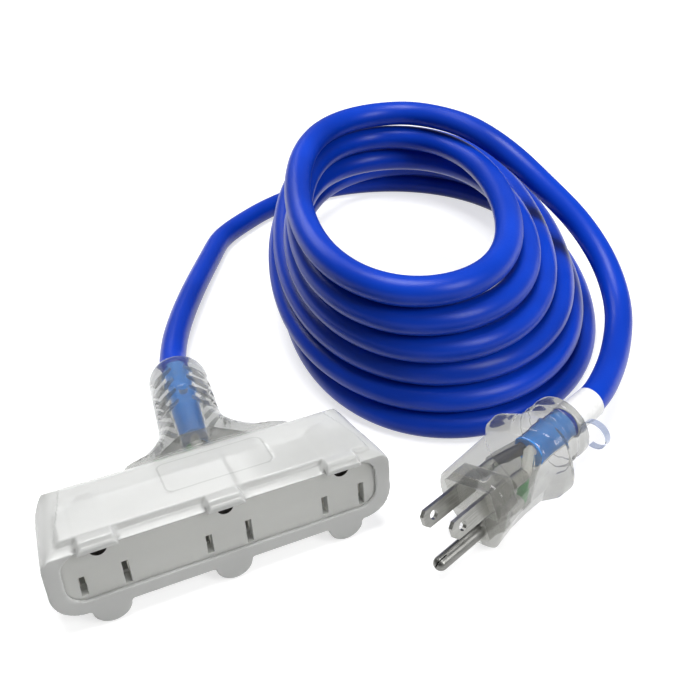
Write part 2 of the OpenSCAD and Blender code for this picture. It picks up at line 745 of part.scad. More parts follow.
// A conductor leaves the jacket at (x, z) and bends over to its terminal
module tap_wire(x, z, tab_x, tab_z) {
    end_y = crimp_y + crimp_len;
    tap_place() conductor([neck_point(jacket_start, x, z), neck_point(jacket_start - 8, x, z),
        [tab_x, end_y + 3.5, tab_z], [tab_x, end_y, tab_z]], [0, 0, 1]);
}
wire_ring = wire_r * 2 / sqrt(3) + 0.1; // from the cord's centre to a conductor's

module tap_line_wire() {
    color("black") tap_wire(wire_ring * cos(30), -wire_ring / 2, line_tab_x, line_tab_z);
}

module tap_neutral_wire() {
    color("white") tap_wire(0, wire_ring, neutral_tab_x, neutral_tab_z);
}

module tap_ground_wire() {
    color("green") tap_wire(-wire_ring * cos(30), -wire_ring / 2, ground_tab_x, ground_tab_z);
}

module tap_jacket() {
    color(jacket_colour) tap_place() neck_place() bar_y(cord_r, jacket_start, neck_reach);
}

// ---------- the cord ----------

module tap_lead() {
    color(jacket_colour) tube(tap_lead_points, cord_r, lead_sides);
}

module coil() {
    color(jacket_colour) tube(coil_path, cord_r, coil_sides);
}

module plug_lead() {
    color(jacket_colour) tube(plug_lead_points, cord_r, lead_sides);
}

module plug_place() {
    translate(plug_face_pos) rotate([90 + plug_nose_down, 0, 90 + plug_yaw]) rotate([0, 0, plug_roll])
        children();
}

label_start = plug_len + label_gap;
label_r = cord_r + mould_gap + label_t;
module cord_label() {
    color("white") plug_place() translate([0, plug_rise, -label_start - label_len]) difference() {
        cylinder(h = label_len, r = label_r);
        translate([0, 0, -cut]) cylinder(h = label_len + 2 * cut, r = cord_r + mould_gap);
    }
}

// The film holds on to the label, and its free tail curls away from it
module label_film() {
    film_r = 5.2;
    film_t = 0.3;
    film_w = 2.5;
    film_turn = -16; // where the tail leaves the label
    hold_r = label_r + mould_gap;
    color([0.9, 0.92, 0.95, 0.5]) plug_place()
        translate([0, plug_rise, -label_start - 0.6 - film_w]) rotate([0, 0, film_turn]) {
            rotate([0, 0, -84]) rotate_extrude(angle = 88)
                translate([hold_r, 0]) square([film_t, film_w]);
            translate([hold_r + film_r, 0]) rotate([0, 0, -105]) rotate_extrude(angle = 289)
                translate([film_r - film_t, 0]) square([film_t, film_w]);
        }
}

// ---------- the plug ----------

// Rings of the plug's body, face first: depth, half of the width, top and
// bottom from the line of the blades, how boxy the ring is, and how much
// narrower it is at its bottom
plug_half = plug_w / 2;
grip_half = grip_w / 2;
collar_front = plug_len - collar_len;
plug_rings = [
    [0, plug_half - 1, plug_top - 0.8, plug_bottom - 1, 0.5, 0.55],
    [1.2, plug_half, plug_top, plug_bottom, 0.5, 0.55],
    [9, plug_half - 0.3, plug_top + 0.6, plug_bottom - 2, 0.5, 0.55],
    [16, plug_half - 0.6, plug_top + 1.2, plug_bottom - 3, 0.5, 0.5],
    [collar_front - 10, plug_half - 0.5, plug_top + 1.8, plug_bottom - 3.4, 0.5, 0.45],
    [collar_front - 7, grip_half - 0.5, plug_top + 3.8, plug_bottom - 3.8, 0.5, 0.15],
    [collar_front - 2.5, grip_half, plug_top + 4.2, plug_bottom - 4.4, 0.5, 0.1],
    [collar_front + 0.5, collar_d / 2 + 1, plug_top + 3.4, plug_bottom - 8, 0.8, 0]];
plug_points = 32;
function plug_ring(r) = [for (k = [0 : plug_points - 1]) let (
        a = 360 * (k + 0.5) / plug_points,
        y = (r[2] - r[3]) / 2 + (r[2] + r[3]) / 2 * boxed(sin(a), r[4]),
        slim = 1 - r[5] * ease(-y / r[3])
    ) [r[1] * slim * boxed(cos(a), r[4]), y, -r[0]]];

module collar() {
    pitch = collar_len / collar_rings;
    translate([0, plug_rise, -plug_len]) difference() {
        cylinder(h = collar_len + 3, r = collar_d / 2);
        for (i = [1 : collar_rings - 1]) translate([0, 0, i * pitch]) rotate_extrude()
            translate([collar_d / 2, 0]) circle(ring_groove);
    }
}

module plug_shell() {
    color(clear_colour) plug_place() difference() {
        union() {
            loft([for (r = plug_rings) plug_ring(r)]);
            collar();
        }
        plug_core_shape(mould_gap, cut);
        plug_room();
    }
}

// The bridge that holds the blades and, lower and narrower, the ground pin
core_half = blade_spacing / 2 + 3.4;
core_high = blade_w / 2 + 2;
core_low = ground_offset + pin_d / 2 + 0.8;
core_foot = pin_d / 2 + 0.8;
module plug_core_shape(gap = 0, front = 0) {
    block([-core_half - gap, -core_high - gap, -core_len], [core_half + gap, core_high + gap, front]);
    block([-core_foot - gap, -core_low - gap, -core_len], [core_foot + gap, 0, front]);
}

// Where the blades and the pin end behind the bridge
plug_tab = core_len + tab_len;
plug_crimp_z = plug_tab - crimp_overlap;
plug_crimp_end = plug_crimp_z + crimp_len;
plug_terminals = [[-blade_spacing / 2, 0], [blade_spacing / 2, 0], [0, -ground_offset]];
plug_wire_starts = [[-wire_ring * cos(30), wire_ring / 2], [wire_ring * cos(30), wire_ring / 2],
    [0, -wire_ring]];
function plug_wire_points(i) = let (start = plug_wire_starts[i], end = plug_terminals[i]) [
    [start.x, plug_rise + start.y, -plug_jacket_start],
    [start.x, plug_rise + start.y, -plug_jacket_start + 1.5],
    [end.x, end.y, -plug_crimp_end - 1], [end.x, end.y, -plug_crimp_end]];

// The room in the moulding for the crimps, the conductors and the jacket
module plug_room() {
    for (end = plug_terminals) translate([end.x, end.y, -plug_crimp_end - 1])
        cylinder(h = plug_crimp_end + 1 - core_len, r = crimp_r + mould_gap);
    room = wire_r + 0.3;
    wide = blade_spacing / 2 + room;
    inner = cord_r * 0.7;
    front = [[wide, room], [-wide, room], [-wide, -room], [-room, -ground_offset - room],
        [room, -ground_offset - room], [wide, -room]];
    rear = [[inner, plug_rise + inner], [-inner, plug_rise + inner], [-cord_r, plug_rise - 0.5],
        [-inner, plug_rise - inner], [inner, plug_rise - inner], [cord_r, plug_rise - 0.5]];
    loft([[for (p = front) [p.x, p.y, -plug_crimp_end + 1]],
        [for (p = front) [p.x, p.y, -plug_crimp_end - 2.5]],
        [for (p = rear) [p.x, p.y, -plug_jacket_start]]]);
    translate([0, plug_rise, -plug_len - cut])
        cylinder(h = plug_len + cut - plug_jacket_start, r = cord_r + mould_gap);
}

module plug_core() {
    color([0.78, 0.8, 0.8]) plug_place() difference() {
        plug_core_shape();
        for (side = [-1, 1]) translate([side * blade_spacing / 2, 0, -core_len / 2])
            cube([blade_t + 2 * mould_gap, blade_w + 2 * mould_gap, core_len + 2 * cut], center = true);
        translate([0, -ground_offset, -core_len - cut])
            cylinder(h = core_len + 2 * cut, r = shank_r + mould_gap);
    }
}

// A flat blade with a cut-off tip, a hole, and a tab for its crimp
module blade(side) {
    chamfer = 1.6;
    half = blade_w / 2;
    color(steel_colour) plug_place() translate([side * blade_spacing / 2, 0, 0]) {
        rotate([90, 0, 90]) translate([0, 0, -blade_t / 2]) linear_extrude(blade_t) difference() {
            polygon([[-half, -core_len], [half, -core_len], [half, blade_len - chamfer],
                [half - chamfer, blade_len], [-half + chamfer, blade_len], [-half, blade_len - chamfer]]);
            translate([0, blade_len - blade_hole_in]) circle(blade_hole_d / 2);
        }
        translate([-strip_t / 2, -tab_w / 2, -plug_tab]) cube([strip_t, tab_w, tab_len]);
    }
}

module line_blade() {
    blade(-1);
}

module neutral_blade() {
    blade(1);
}

// The pin has a round tip, a slimmer shank in the bridge and a tab for its crimp
module ground_pin() {
    pin_r = pin_d / 2;
    color(steel_colour) plug_place() translate([0, -ground_offset, 0]) {
        translate([0, 0, -core_len]) cylinder(h = core_len, r = shank_r);
        cylinder(h = pin_len - pin_r, r = pin_r);
        translate([0, 0, pin_len - pin_r]) sphere(pin_r);
        translate([-strip_t / 2, -tab_w / 2, -plug_tab]) cube([strip_t, tab_w, tab_len]);
    }
}

module plug_crimp(i) {
    color(steel_colour) plug_place()
        translate([plug_terminals[i].x, plug_terminals[i].y, -plug_crimp_end]) difference() {
            cylinder(h = crimp_len, r = crimp_r);
            translate([-strip_t / 2 - mould_gap, -tab_w / 2 - mould_gap, crimp_len - crimp_overlap])
                cube([strip_t + 2 * mould_gap, tab_w + 2 * mould_gap, crimp_overlap + cut]);
            translate([0, 0, -cut]) cylinder(h = crimp_overlap + cut, r = core_r + mould_gap);
        }
}

module plug_line_crimp() {
    plug_crimp(0);
}

module plug_neutral_crimp() {
    plug_crimp(1);
}

module plug_ground_crimp() {
    plug_crimp(2);
}

module plug_wire(i) {
    plug_place() conductor(plug_wire_points(i), [1, 0, 0]);
}

module plug_line_wire() {
    color("black") plug_wire(0);
}

module plug_neutral_wire() {
    color("white") plug_wire(1);
}

module plug_ground_wire() {
    color("green") plug_wire(2);
}

module plug_jacket() {
    color(jacket_colour) plug_place() translate([0, plug_rise, -plug_len])
        cylinder(h = plug_len - plug_jacket_start, r = cord_r);
}

echo(coil_least_gap = coil_gap, lead = run_length(tap_lead_points), coil = run_length(coil_path),
    plug_side = run_length(plug_lead_points));

tap_shell();
outlet_face();
contact_carrier();
line_bus();
neutral_bus();
ground_bus();
tap_line_wire();
tap_neutral_wire();
tap_ground_wire();
tap_line_crimp();
tap_neutral_crimp();
tap_ground_crimp();
tap_jacket();
tap_lead();
coil();
plug_lead();
cord_label();
label_film();
plug_shell();
plug_core();
line_blade();
neutral_blade();
ground_pin();
plug_line_wire();
plug_neutral_wire();
plug_ground_wire();
plug_line_crimp();
plug_neutral_crimp();
plug_ground_crimp();
plug_jacket();
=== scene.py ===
import math

import bmesh
import bpy
from mathutils import Matrix, Vector


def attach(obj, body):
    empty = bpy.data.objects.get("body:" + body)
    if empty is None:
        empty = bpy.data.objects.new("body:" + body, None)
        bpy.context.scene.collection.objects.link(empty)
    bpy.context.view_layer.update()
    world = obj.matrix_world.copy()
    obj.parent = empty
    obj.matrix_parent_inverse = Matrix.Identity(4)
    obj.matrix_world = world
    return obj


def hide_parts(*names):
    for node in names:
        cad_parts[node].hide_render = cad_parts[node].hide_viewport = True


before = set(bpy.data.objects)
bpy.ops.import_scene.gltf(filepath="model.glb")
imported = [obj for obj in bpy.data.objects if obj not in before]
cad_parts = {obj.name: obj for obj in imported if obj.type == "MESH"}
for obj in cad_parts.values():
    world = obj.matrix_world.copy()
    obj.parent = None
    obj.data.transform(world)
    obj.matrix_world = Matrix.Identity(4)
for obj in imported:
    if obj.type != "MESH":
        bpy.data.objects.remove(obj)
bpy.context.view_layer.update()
scene = bpy.context.scene
scene.view_settings.view_transform = "Standard"
MM = 0.001


def sind(a):
    return math.sin(math.radians(a))


def cosd(a):
    return math.cos(math.radians(a))


# ---------- camera ----------

CAMERA_AT = (-42.84, -243.47, 211.44)
CAMERA_AZIMUTH, CAMERA_PITCH, CAMERA_ROLL = 23.68, 33.32, 1.77
CAMERA_LENS, CAMERA_SENSOR, CAMERA_NEAR, CAMERA_FAR = 45.26, 36, 0.01, 20


def make_camera():
    forward = Vector((sind(CAMERA_AZIMUTH) * cosd(CAMERA_PITCH),
                      cosd(CAMERA_AZIMUTH) * cosd(CAMERA_PITCH), -sind(CAMERA_PITCH)))
    flat = Vector((cosd(CAMERA_AZIMUTH), -sind(CAMERA_AZIMUTH), 0))
    down = forward.cross(flat)
    right = flat * cosd(CAMERA_ROLL) + down * sind(CAMERA_ROLL)
    up = flat * sind(CAMERA_ROLL) - down * cosd(CAMERA_ROLL)
    data = bpy.data.cameras.new("camera")
    data.sensor_width = CAMERA_SENSOR
    data.lens = CAMERA_LENS
    data.clip_start = CAMERA_NEAR
    data.clip_end = CAMERA_FAR
    camera = bpy.data.objects.new("camera", data)
    turned = Matrix((right, up, -forward)).transposed()
    camera.matrix_world = Matrix.Translation(Vector(CAMERA_AT) * MM) @ turned.to_4x4()
    scene.collection.objects.link(camera)
    scene.camera = camera


make_camera()

# ---------- places, in the same named values as the part ----------

CORD_D = 10.8
TAP_LEAN, TAP_MID, SLOT_Z = 4.34145, 49.7816, 16.1608
NECK_YAW, NECK_PIVOT, NECK_Z, NECK_REACH = 7, 20, 2.4, 81.8
PLUG_FACE = Vector((73.2, -69.9, 18.2))
PLUG_YAW, PLUG_NOSE, PLUG_ROLL, PLUG_LEN, PLUG_RISE = 198, 4.4, 18, 47.4, 0.2
GROUND_DROP, OUTLET_PITCH, PIN_HOLE_R = 11.9, 38.1, 2.5
BAR_HALF, BAR_TOP, BAR_DEPTH, BAR_DRAFT, HOOD_RISE = 54.5, 14.4, 36, 1.2, 2.4
TAP = (Matrix.Translation((0, -TAP_MID * MM, SLOT_Z * MM))
       @ Matrix.Rotation(math.radians(-TAP_LEAN), 4, "X"))
NECK = TAP @ Matrix.Translation((0, NECK_PIVOT * MM, NECK_Z * MM)) @ Matrix.Rotation(
    math.radians(-NECK_YAW), 4, "Z")
PLUG = (Matrix.Translation(PLUG_FACE * MM) @ Matrix.Rotation(math.radians(90 + PLUG_YAW), 4, "Z")
        @ Matrix.Rotation(math.radians(90 + PLUG_NOSE), 4, "X")
        @ Matrix.Rotation(math.radians(PLUG_ROLL), 4, "Z"))


def in_mm(matrix, point):
    return (matrix @ (Vector(point) * MM)) / MM


# ---------- the cord's route ----------

COIL_CENTRE, COIL_TURN = (115, 55), 68
COIL_BACK = (158, 154, 149, 142, 77, 75, 75)
COIL_RIGHT = (84, 76, 70.5, 59.5, 48, 39.5, 50)
COIL_FRONT = (-77, -76, -75, -77.5, -77.5, -77.5)
COIL_LEFT = (-92, -51, -55, -52, -46, -44, -44)
COIL_SQUARE, COIL_JOIN, COIL_STEP = 0.03, 3, 0.002
FIRST_RING, LAST_RING, PER_TURN = -3, 144, 24
TURN_RISE, CLIMB_FROM, CLIMB_OVER = 11.6, 0.5, 0.4
TAP_ROUTE = ((16, 77, 9.7), (24, 96, 8.6), (35, 118, 7.5), (46, 138, 6.5), (57, 157, 5.6), (67, 173, 5.4))
PLUG_ROUTE = ((158, 112, 75), (163, 101, 75), (166, 89, 74.8), (168.5, 76, 73), (172.5, 62, 68.5),
              (178.5, 47, 59.5), (186, 32, 48.5), (188, 14, 36.5), (181, -6, 27), (166, -24.5, 22.7),
              (149.5, -39.5, 22.6))
PLUG_STRAIGHT = (18, 12, 6, 0)
CURVE_STEP, RING_STEP, SETTLE_ROUNDS, CORD_SIDES = 1.5, 2.5, 12, 28


def ease(x):
    c = min(max(x, 0), 1)
    return c * c * (3 - 2 * c)


def between(values, s):
    i = min(max(math.floor(s), 0), len(values) - 2)
    return values[i] + (values[i + 1] - values[i]) * ease(s - i)


def coil_point(t):
    """The middle of the cord, t turns along the coil."""
    front, back = between(COIL_FRONT, t - 0.5), between(COIL_BACK, t)
    left, right = between(COIL_LEFT, t + 0.25), between(COIL_RIGHT, t - 0.25)
    u = (front + back + (back - front) * cosd(360 * t)) / 2
    full = (sind(360 * t) + COIL_SQUARE * sind(1080 * t)) / (1 - COIL_SQUARE)
    v = (left + right - (left - right) * full) / 2
    turn = math.floor(t)
    z = CORD_D / 2 + TURN_RISE * (turn + ease((t - turn - CLIMB_FROM) / CLIMB_OVER))
    return Vector((COIL_CENTRE[0] + u * cosd(COIL_TURN) + v * sind(COIL_TURN),
                   COIL_CENTRE[1] + u * sind(COIL_TURN) - v * cosd(COIL_TURN), max(CORD_D / 2, z)))


def coil_way(t):
    return (coil_point(t + COIL_STEP) - coil_point(t - COIL_STEP)).normalized()


def cord_route():
    """The points that the cord follows, from the tap's neck to the plug's collar."""
    tap_exit = in_mm(NECK, (0, NECK_REACH, 0))
    tap_way = (in_mm(NECK, (0, NECK_REACH + 1, 0)) - tap_exit).normalized()
    plug_entry = in_mm(PLUG, (0, PLUG_RISE, -PLUG_LEN))
    plug_way = (in_mm(PLUG, (0, PLUG_RISE, 1 - PLUG_LEN)) - plug_entry).normalized()
    first, last = FIRST_RING / PER_TURN, LAST_RING / PER_TURN
    coil_in = coil_point(first) - COIL_JOIN * coil_way(first)
    coil_out = coil_point(last) + COIL_JOIN * coil_way(last)
    points = [tap_exit, tap_exit + CORD_D / 2 * tap_way, tap_exit + CORD_D * tap_way]
    points += [Vector(p) for p in TAP_ROUTE]
    points += [coil_in - COIL_JOIN * coil_way(first), coil_in]
    points += [coil_point(i / PER_TURN) for i in range(FIRST_RING, LAST_RING + 1)]
    points += [coil_out, coil_out + COIL_JOIN * coil_way(last)]
    points += [Vector(p) for p in PLUG_ROUTE]
    return points + [plug_entry - back * plug_way for back in PLUG_STRAIGHT]


def through(points, step):
    """A smooth line through the points, with a point about every step."""
    line = []
    for i in range(len(points) - 1):
        b, c = points[i], points[i + 1]
        a = points[i - 1] if i else 2 * b - c
        d = points[i + 2] if i + 2 < len(points) else 2 * c - b
        ta = math.sqrt((b - a).length)
        tb = ta + math.sqrt((c - b).length)
        tc = tb + math.sqrt((d - c).length)
        count = max(2, round((c - b).length / step))
        for k in range(count):
            t = ta + (tb - ta) * k / count
            ab = a.lerp(b, t / ta)
            bc = b.lerp(c, (t - ta) / (tb - ta))
            cd = c.lerp(d, (t - tb) / (tc - tb))
            abc, bcd = ab.lerp(bc, t / tb), bc.lerp(cd, (t - ta) / (tc - ta))
            line.append(abc.lerp(bcd, (t - ta) / (tb - ta)))
    return line + [points[-1]]


def even(line, step):
    """The same line with its points evenly spaced."""
    along = [0.0]
    for a, b in zip(line, line[1:]):
        along.append(along[-1] + (b - a).length)
    count = round(along[-1] / step)
    out, i = [], 0
    for k in range(count + 1):
        at = along[-1] * k / count
        while i < len(line) - 2 and along[i + 1] < at:
            i += 1
        out.append(line[i].lerp(line[i + 1], (at - along[i]) / max(along[i + 1] - along[i], 1e-9)))
    return out


def settled(line, rounds, held=6):
    """The line after a stiff cord has evened out its sharpest bends; its ends are held."""
    for _ in range(rounds):
        moved = [(a + c) / 4 + b / 2 for a, b, c in zip(line, line[1:], line[2:])]
        line = line[:held] + moved[held - 1:len(moved) - held + 1] + line[-held:]
    return line


def swept(name, line, radius, sides):
    """A round tube along the line in millimetres, with closed ends. Its UV runs round and along."""
    last = len(line) - 1
    ways = [(line[min(i + 1, last)] - line[max(i - 1, 0)]).normalized() for i in range(len(line))]
    side = ways[0].orthogonal().normalized()
    verts, runs, along = [], [], 0.0
    for i, (p, way) in enumerate(zip(line, ways)):
        side = (side - way * side.dot(way)).normalized()
        over = way.cross(side)
        verts += [(p + radius * (cosd(360 * k / sides) * side + sind(360 * k / sides) * over)) * MM
                  for k in range(sides)]
        along += (p - line[i - 1]).length if i else 0
        runs.append(along * MM)
    faces = [(i * sides + k, i * sides + (k + 1) % sides, (i + 1) * sides + (k + 1) % sides,
              (i + 1) * sides + k) for i in range(last) for k in range(sides)]
    faces += [tuple(reversed(range(sides))), tuple(range(len(verts) - sides, len(verts)))]
    mesh = bpy.data.meshes.new(name)
    mesh.from_pydata(verts, [], faces)
    for face in mesh.polygons:
        face.use_smooth = len(face.vertices) == 4
    layer = mesh.uv_layers.new(name="UVMap")
    for f in range(last * sides):
        i, k = divmod(f, sides)
        for corner, (di, dk) in zip(mesh.polygons[f].loop_indices, ((0, 0), (0, 1), (1, 1), (1, 0))):
            layer.data[corner].uv = ((k + dk) / sides, runs[i + di])
    piece = bpy.data.objects.new(name, mesh)
    scene.collection.objects.link(piece)
    return piece


# ---------- materials ----------

class Look:
    """One material's nodes, with short ways to add and join them."""

    def __init__(self, name):
        self.mat = bpy.data.materials.new(name)
        self.mat.use_nodes = True
        self.tree = self.mat.node_tree
        self.shader = self.tree.nodes["Principled BSDF"]
        self.out = self.tree.nodes["Material Output"]

    def add(self, kind, **values):
        node = self.tree.nodes.new(kind)
        for key, value in values.items():
            setattr(node, key, value)
        return node

    def join(self, a, b):
        self.tree.links.new(a, b)

    def put(self, value, socket):
        """A number or a colour is set on the socket, and a node's output is joined to it."""
        if isinstance(value, tuple):
            socket.default_value = (*value, 1)
        elif isinstance(value, (int, float)):
            socket.default_value = value
        else:
            self.join(value, socket)

    def drive(self, key, value):
        self.join(value, self.shader.inputs[key])

    def set(self, **values):
        for key, value in values.items():
            self.shader.inputs[key.replace("_", " ")].default_value = value

    def place(self, matrix=None):
        """Position in millimetres, in the object's frame or in the tap's or the plug's own."""
        where = self.add("ShaderNodeTexCoord").outputs["Object"]
        if matrix is not None:
            inverse = matrix.inverted()
            move = self.add("ShaderNodeMapping")
            move.inputs["Location"].default_value = inverse.to_translation()
            move.inputs["Rotation"].default_value = inverse.to_euler()
            self.join(where, move.inputs["Vector"])
            where = move.outputs["Vector"]
        scale = self.add("ShaderNodeVectorMath", operation="SCALE")
        scale.inputs["Scale"].default_value = 1 / MM
        self.join(where, scale.inputs[0])
        return scale.outputs["Vector"]

    def axes(self, where):
        parts = self.add("ShaderNodeSeparateXYZ")
        self.join(where, parts.inputs[0])
        return parts.outputs["X"], parts.outputs["Y"], parts.outputs["Z"]

    def noise(self, where, size, detail, stretch=(1, 1, 1)):
        """Noise from 0 to 1 whose features are about size millimetres."""
        move = self.add("ShaderNodeMapping")
        move.inputs["Scale"].default_value = [s / size for s in stretch]
        self.join(where, move.inputs["Vector"])
        noise = self.add("ShaderNodeTexNoise")
        noise.inputs["Scale"].default_value = 1
        noise.inputs["Detail"].default_value = detail
        self.join(move.outputs["Vector"], noise.inputs["Vector"])
        return noise.outputs["Fac"]

    def ramp(self, value, stops):
        ramp = self.add("ShaderNodeValToRGB")
        band = ramp.color_ramp
        while len(band.elements) < len(stops):
            band.elements.new(0.5)
        for element, (at, colour) in zip(band.elements, stops):
            element.position = at
            element.color = (*colour, 1)
        self.join(value, ramp.inputs["Fac"])
        return ramp.outputs["Color"]

    def math(self, operation, *values):
        node = self.add("ShaderNodeMath", operation=operation)
        for socket, value in zip(node.inputs, values):
            self.put(value, socket)
        return node.outputs["Value"]

    def mix(self, factor, a, b, blend="MIX"):
        node = self.add("ShaderNodeMix", data_type="RGBA", blend_type=blend)
        for key, value in (("Factor", factor), ("A", a), ("B", b)):
            self.put(value, node.inputs[key])
        return node.outputs["Result"]

    def turn(self, value, span, ends):
        """The first end before the span, the second after it, and a smooth turn between them."""
        node = self.add("ShaderNodeMapRange", interpolation_type="SMOOTHSTEP")
        for key, number in zip(("From Min", "From Max", "To Min", "To Max"), (*span, *ends)):
            node.inputs[key].default_value = number
        self.join(value, node.inputs["Value"])
        return node.outputs["Result"]

    def reach(self, a, b):
        """The distance of the point (a, b) from zero."""
        return self.math("SQRT", self.math("ADD", self.math("MULTIPLY", a, a), self.math("MULTIPLY", b, b)))

    def beyond(self, value, middle, half):
        """How far the value lies outside the span that reaches half to either side of the middle."""
        off = self.math("ABSOLUTE", self.math("SUBTRACT", value, middle))
        return self.math("MAXIMUM", self.math("SUBTRACT", off, half), 0.0)

    def bump(self, height, strength, distance_mm):
        bump = self.add("ShaderNodeBump")
        bump.inputs["Strength"].default_value = strength
        bump.inputs["Distance"].default_value = distance_mm * MM
        self.join(height, bump.inputs["Height"])
        self.drive("Normal", bump.outputs["Normal"])


def jacket_look(name, low, high):
    """The cord's rubbery jacket: broad uneven patches and a fine satin grain."""
    look = Look(name)
    where = look.place()
    broad = look.noise(where, size=40, detail=2)
    fine = look.noise(where, size=1.1, detail=4)
    look.drive("Base Color", look.ramp(broad, [(0.30, low), (0.72, high)]))
    look.drive("Roughness", look.math("MULTIPLY_ADD", fine, 0.12, 0.28))
    look.bump(look.math("MULTIPLY_ADD", broad, 3.0, fine), strength=0.35, distance_mm=0.06)
    look.set(IOR=1.45, Specular_IOR_Level=0.24)
    return look


def fine_look(name, low, high):
    """A wire's insulation or the label's paper, with a fine grain."""
    look = Look(name)
    fine = look.noise(look.place(), size=1.6, detail=3)
    look.drive("Base Color", look.ramp(fine, [(0.3, low), (0.7, high)]))
    look.drive("Roughness", look.math("MULTIPLY_ADD", fine, 0.15, 0.25))
    look.bump(fine, strength=0.2, distance_mm=0.05)
    return look


def drawn_metal(name, low, high, matrix, stretch, rough, dull_size=5):
    """Metal with drawing lines along one way and a little dulling; its place, lines and colour come too."""
    look = Look(name)
    where = look.place(matrix)
    lines = look.noise(where, size=0.35, detail=2, stretch=stretch)
    dull = look.noise(where, size=dull_size, detail=3)
    both = look.math("ADD", look.math("MULTIPLY", lines, 0.5), look.math("MULTIPLY", dull, 0.5))
    look.drive("Roughness", look.math("MULTIPLY_ADD", both, 0.3, rough - 0.1))
    look.set(Metallic=1.0)
    return look, where, lines, look.ramp(both, [(0.3, low), (0.7, high)])


def metal_look(name, low, high, matrix, stretch, rough=0.24):
    """A strip, a blade or a crimp."""
    look, _, lines, colour = drawn_metal(name, low, high, matrix, stretch, rough)
    look.drive("Base Color", colour)
    look.bump(lines, strength=0.25, distance_mm=0.03)
    return look


ACROSS_TAP, ALONG_PLUG, EVERY_WAY = (0.05, 1, 1), (1, 1, 0.06), (1, 1, 1)
SEAM_TURN, SEAM_HALF, SEAM_FROM, SEAM_DEEP = 60, 0.22, 16.0, 6.0


def pin_look():
    """The ground pin is rolled from strip: a dark seam shows along its round end."""
    look, where, lines, metal = drawn_metal("pin_metal", (0.13, 0.13, 0.12), (0.26, 0.26, 0.25), PLUG,
                                            ALONG_PLUG, rough=0.32, dull_size=4)
    x, y, z = look.axes(where)
    # the seam is turned from the plug's side towards its top
    rise = look.math("ADD", y, GROUND_DROP)
    across = look.math("SUBTRACT", look.math("MULTIPLY", rise, cosd(SEAM_TURN)),
                       look.math("MULTIPLY", x, sind(SEAM_TURN)))
    out = look.math("ADD", look.math("MULTIPLY", x, cosd(SEAM_TURN)),
                    look.math("MULTIPLY", rise, sind(SEAM_TURN)))
    near = look.math("MULTIPLY", look.math("LESS_THAN", look.math("ABSOLUTE", across), SEAM_HALF),
                     look.math("GREATER_THAN", out, 0.0))
    seam = look.math("MULTIPLY", near, look.math("GREATER_THAN", z, SEAM_FROM))
    look.drive("Base Color", look.mix(seam, metal, (0.01, 0.01, 0.01)))
    look.bump(look.math("MULTIPLY_ADD", seam, -SEAM_DEEP, lines), strength=0.3, distance_mm=0.05)
    return look


FLOW_SIZE, FLOW_STRETCH, HAZE_SIZE, FLOW_DARKER = 14, (0.35, 1, 1), 2.2, 0.93


def moulded_pvc(name, matrix, colour, ior, coat, soft):
    """Soft PVC with flow marks from moulding and a fine haze; its place, haze and colour come too."""
    look = Look(name)
    where = look.place(matrix)
    flow = look.noise(where, FLOW_SIZE, detail=2, stretch=FLOW_STRETCH)
    haze = look.noise(where, HAZE_SIZE, detail=4)
    look.bump(look.math("MULTIPLY_ADD", flow, 2.0, haze), strength=0.25, distance_mm=0.08)
    look.set(IOR=ior, Coat_Weight=coat, Coat_Roughness=0.12,
             Subsurface_Weight=soft, Subsurface_Radius=(1, 1, 1), Subsurface_Scale=0.0015)
    darker = tuple(c * FLOW_DARKER for c in colour)
    return look, where, haze, look.ramp(flow, [(0.3, darker), (0.7, colour)])


def clear_look(name, clear, colour, rough, frost, ior, coat=0.8):
    """Clear plastic in the plug's own frame."""
    look, _, haze, tint = moulded_pvc(name, PLUG, colour, ior, coat, soft=0.0)
    look.drive("Base Color", tint)
    look.drive("Roughness", look.math("MULTIPLY_ADD", haze, frost, rough - frost / 2))
    look.set(Transmission_Weight=clear)
    return look


OUTLET_ROUGH, OUTLET_FROST, HOLE_EDGE = 0.35, 0.10, 0.08


def outlet_look(name, clear, colour):
    """Frosted plastic with painted shade, near black, down the ground holes."""
    look, where, haze, tint = moulded_pvc(name, TAP, colour, ior=1.06, coat=0.8, soft=1.0)
    x, _, z = look.axes(where)
    # painted shade: the walls of each ground hole are coloured near black, standing in for the shade deep in
    # the hole
    off = look.reach(look.math("PINGPONG", x, OUTLET_PITCH / 2), look.math("SUBTRACT", z, GROUND_DROP))
    hole_shade_mask = look.math("LESS_THAN", off, PIN_HOLE_R + HOLE_EDGE)
    look.drive("Base Color", look.mix(hole_shade_mask, tint, (0.012, 0.010, 0.009)))
    look.drive("Roughness", look.math("MULTIPLY_ADD", haze, OUTLET_FROST, OUTLET_ROUGH - OUTLET_FROST / 2))
    look.set(Transmission_Weight=clear)
    return look


CLEARING, TAP_CLEAR, TAP_ROUGH = (27, 35), (0.22, 0.95), (0.42, 0.2)
GROOVE_MID, GROOVE_HALF, GROOVE_R = (2.5, 17.5), (14.5, 5.5), 2.7
GROOVE_W, GROOVE_ABOVE, GROOVE_SHADE = 0.3, 13.2, 0.35
RAMP_REACH = 100
FLARE_TINT = ((27, (1, 1, 1)), (34, (0.86, 0.86, 0.85)), (52, (0.86, 0.86, 0.85)), (62, (1, 1, 1)))


